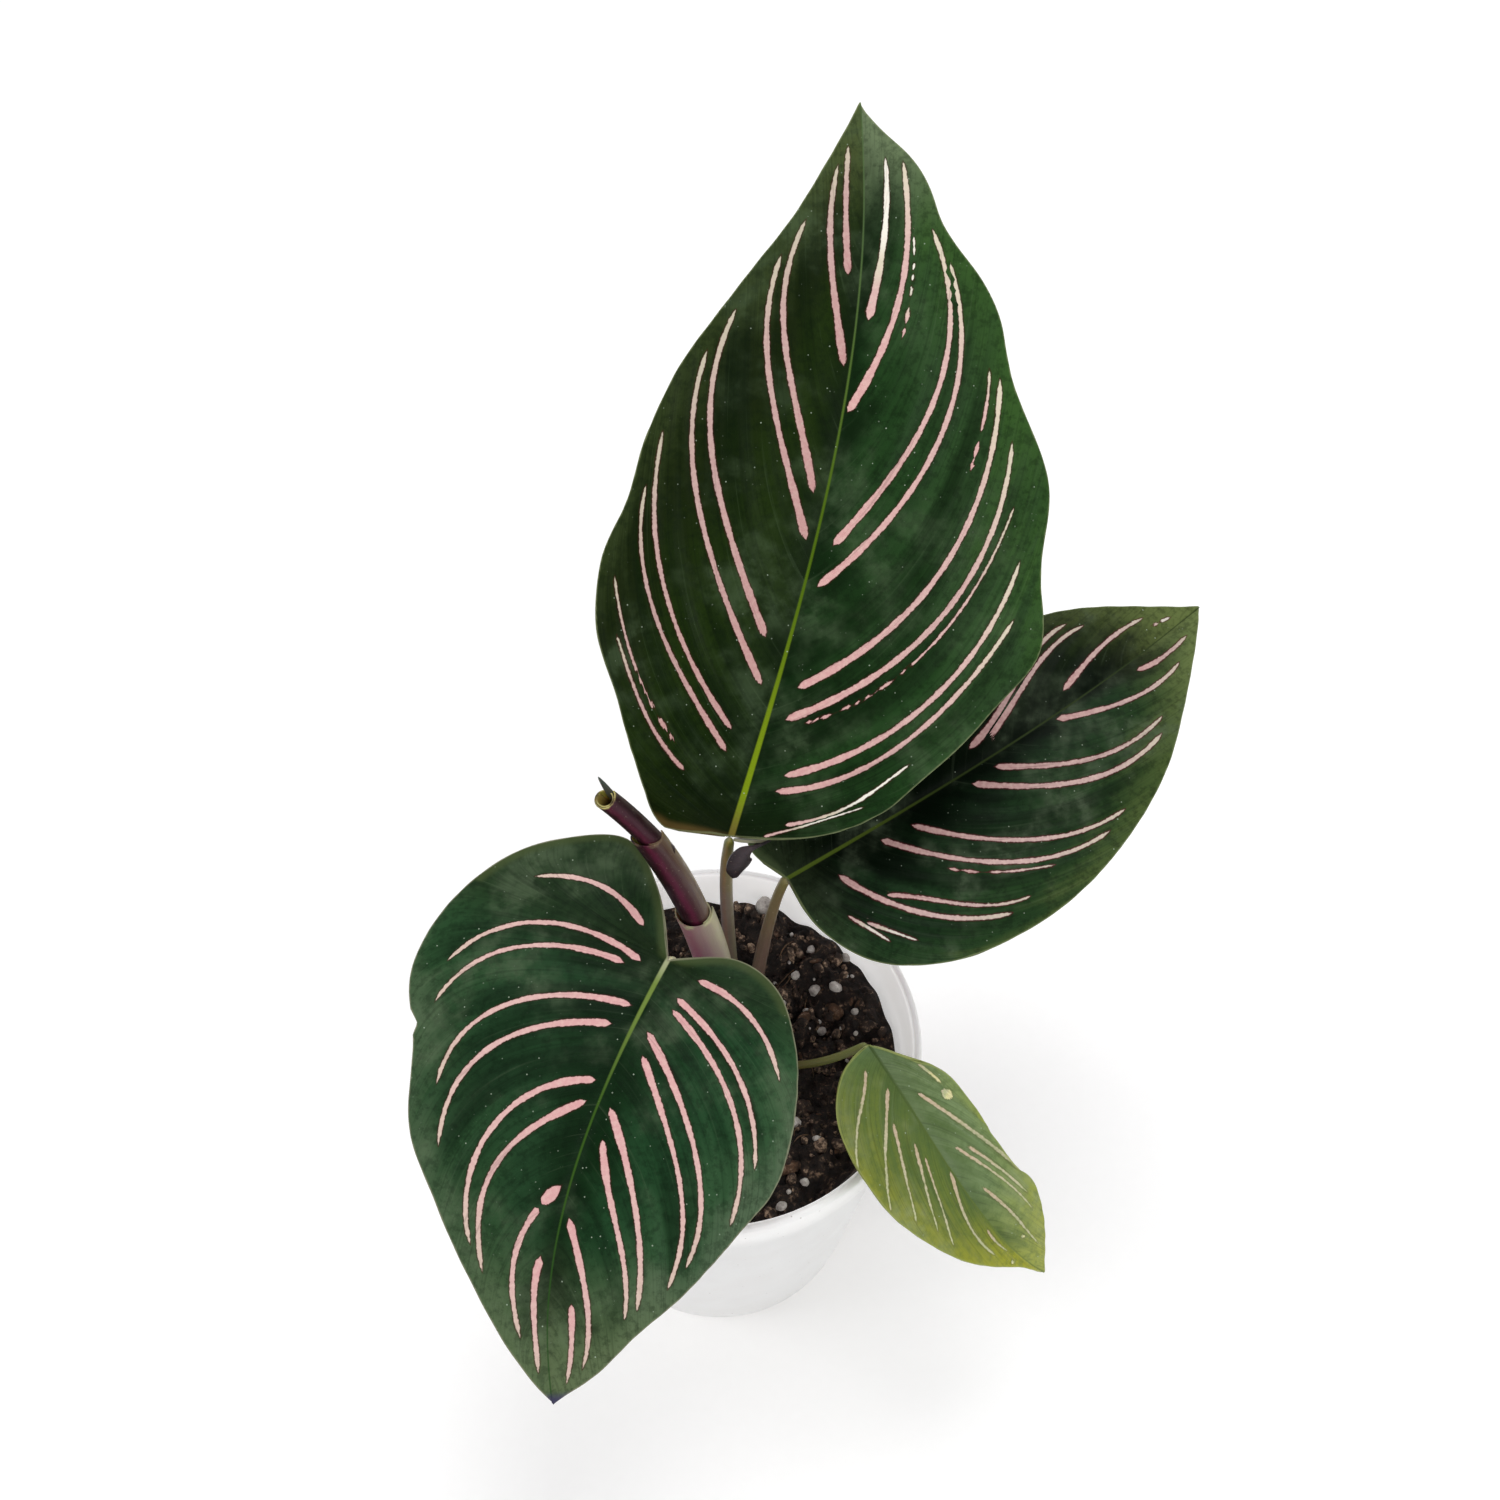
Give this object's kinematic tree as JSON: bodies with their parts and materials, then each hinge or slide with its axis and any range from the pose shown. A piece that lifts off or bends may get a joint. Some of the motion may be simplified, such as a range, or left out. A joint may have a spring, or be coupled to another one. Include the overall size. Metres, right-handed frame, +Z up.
{
  "type": "potted pinstripe calathea",
  "caption": "Young striped-leaf houseplant with broad pink-pinstriped blades and a rolled new leaf, in a small round tapered nursery pot that stands on its flat base.",
  "frame": {"origin": "centre of the pot's flat base, where it stands", "axes": "+Z up, +Y towards the back blade's tip, +X to the right seen from the front"},
  "size_m": [0.1261, 0.1561, 0.177],
  "materials": {
    "pot": "smooth moulded white plastic",
    "soil": "moist dark potting mix with perlite",
    "crown": "matte rhizome skin",
    "blade_green": "satin leaf with pink pinstripes",
    "blade_pale": "satin yellowing leaf with pale stripes",
    "blade_maroon": "satin underside of a rolled leaf",
    "sheath": "smooth sheathing stalk, cream and pink",
    "stalk": "smooth stalk, olive above and mauve below"
  },
  "bodies": {
    "root": {"pot": "pot", "soil": "soil", "crown": "crown", "leaf_back": "blade_green", "leaf_right": "blade_green", "leaf_front": "blade_green", "leaf_low": "blade_pale", "leaf_rolled": "blade_maroon", "sheath": "sheath", "stalk_back": "stalk", "stalk_right": "stalk", "stalk_front": "stalk", "stalk_low": "stalk"}
  },
  "joints": []
}
